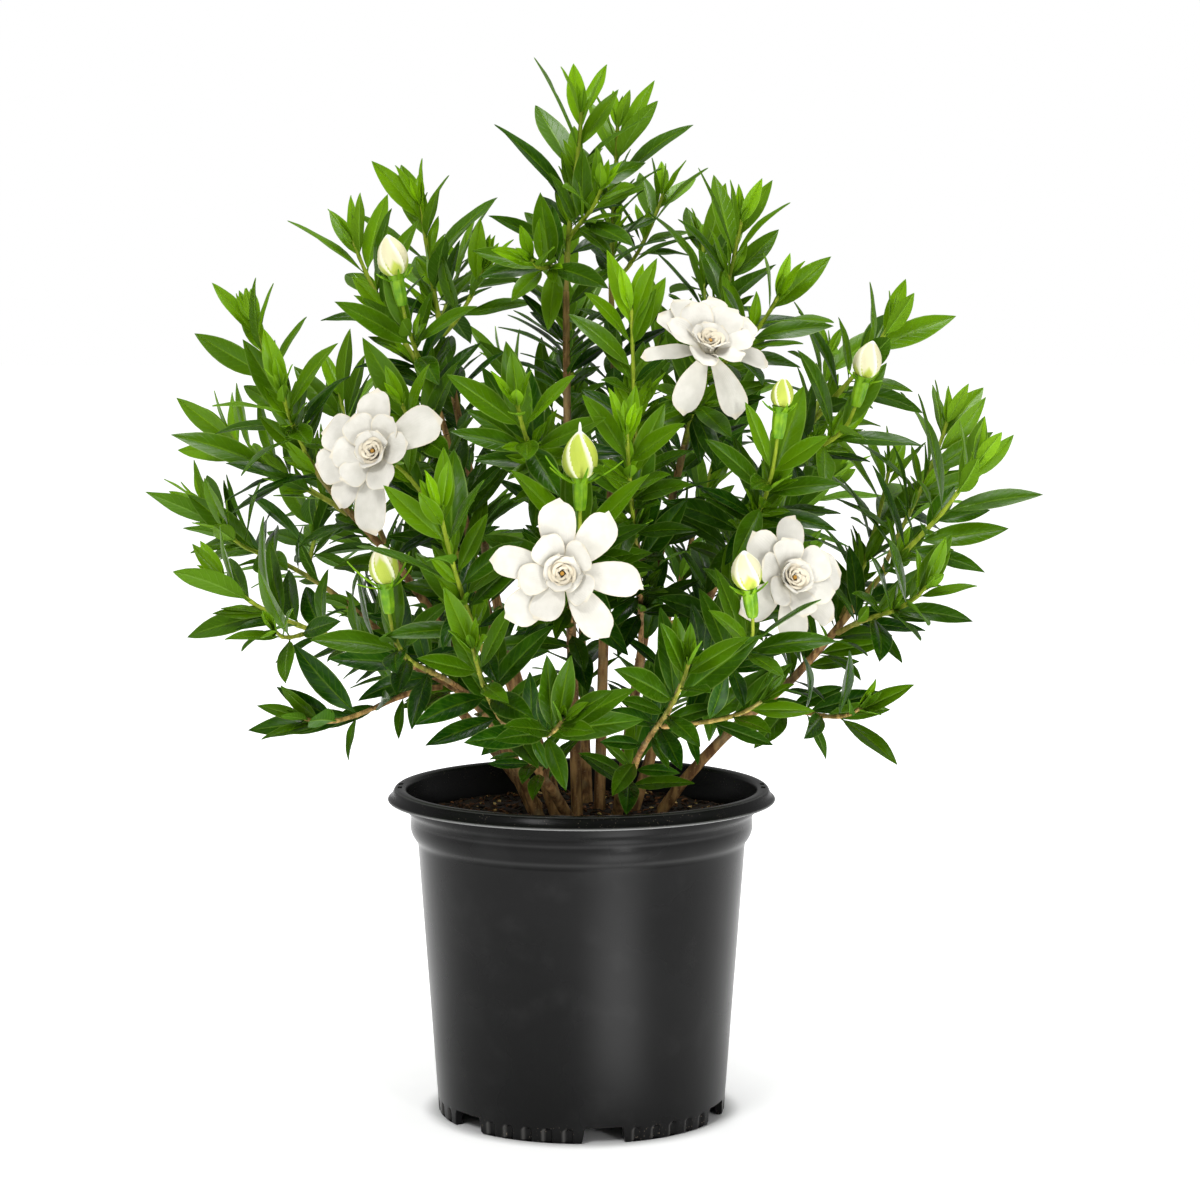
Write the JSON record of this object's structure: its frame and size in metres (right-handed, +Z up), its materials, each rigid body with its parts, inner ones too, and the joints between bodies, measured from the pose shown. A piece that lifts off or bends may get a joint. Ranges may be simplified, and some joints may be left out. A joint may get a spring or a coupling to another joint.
{
  "type": "potted gardenia",
  "caption": "Bushy gardenia shrub with open white double flowers and buds, growing in a round tapered nursery pot with a rolled rim and a notched foot.",
  "frame": {"origin": "centre of the pot's foot, on the surface that it stands on", "axes": "+Z up through the pot's axis; the fullest, flowering side of the shrub faces -Y; +X is to the right of someone who looks at that side"},
  "size_m": [0.6358, 0.5556, 0.7532],
  "materials": {
    "black_plastic": "satin black blow-moulded plastic",
    "potting_mix": "rough dark bark and peat mix",
    "bark": "smooth brown bark with pale lenticels",
    "leaf": "glossy green with sunken veins",
    "petal": "soft matte white",
    "bud": "cream to green, satin"
  },
  "bodies": {
    "root": {"nursery_pot": "black_plastic", "potting_soil": "potting_mix", "cane_01": "bark", "cane_02": "bark", "cane_03": "bark", "cane_04": "bark", "cane_05": "bark", "cane_06": "bark", "cane_07": "bark", "cane_08": "bark", "cane_09": "bark", "cane_10": "bark", "cane_11": "bark", "cane_12": "bark", "cane_13": "bark", "cane_14": "bark", "cane_15": "bark", "leafy_shoot_01": "leaf", "leafy_shoot_02": "leaf", "leafy_shoot_03": "leaf", "leafy_shoot_04": "leaf", "leafy_shoot_05": "leaf", "leafy_shoot_06": "leaf", "leafy_shoot_07": "leaf", "leafy_shoot_08": "leaf", "leafy_shoot_09": "leaf", "leafy_shoot_10": "leaf", "leafy_shoot_11": "leaf", "leafy_shoot_12": "leaf", "leafy_shoot_13": "leaf", "leafy_shoot_14": "leaf", "leafy_shoot_15": "leaf", "leafy_shoot_16": "leaf", "leafy_shoot_17": "leaf", "leafy_shoot_18": "leaf", "leafy_shoot_19": "leaf", "leafy_shoot_20": "leaf", "leafy_shoot_21": "leaf", "leafy_shoot_22": "leaf", "leafy_shoot_23": "leaf", "leafy_shoot_24": "leaf", "leafy_shoot_25": "leaf", "leafy_shoot_26": "leaf", "leafy_shoot_27": "leaf", "leafy_shoot_28": "leaf", "leafy_shoot_29": "leaf", "leafy_shoot_30": "leaf", "leafy_shoot_31": "leaf", "leafy_shoot_32": "leaf", "leafy_shoot_33": "leaf", "flower_front": "petal", "flower_left": "petal", "flower_upper_right": "petal", "flower_lower_right": "petal", "bud_front": "bud", "bud_left": "bud", "bud_upper_left": "bud", "bud_right": "bud", "bud_lower_right": "bud", "bud_small": "bud"}
  },
  "joints": []
}
